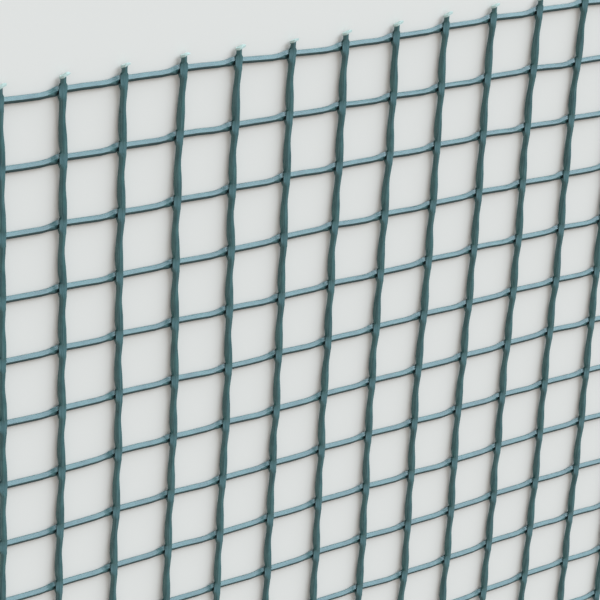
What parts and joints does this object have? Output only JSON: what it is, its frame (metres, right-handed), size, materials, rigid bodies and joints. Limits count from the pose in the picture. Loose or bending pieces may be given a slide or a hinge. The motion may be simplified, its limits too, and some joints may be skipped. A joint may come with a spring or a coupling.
{
  "type": "sheet of plastic garden mesh",
  "caption": "Flat length of green extruded plastic garden mesh with square cells, cut across its top and bottom, for plant support and light fencing.",
  "frame": {"origin": "middle of the mesh, on the surface that it lies on", "axes": "+X along the roll's width, with the level strands; +Y along the upright strands, towards the cut edge that the picture shows; +Z out of the face that the picture shows"},
  "size_m": [0.5026, 0.389, 0.0031],
  "materials": {
    "green_plastic": "satin, dark blue-green, coloured right through, with fine draw lines"
  },
  "bodies": {
    "root": {"mesh_sheet": "green_plastic"}
  },
  "joints": []
}
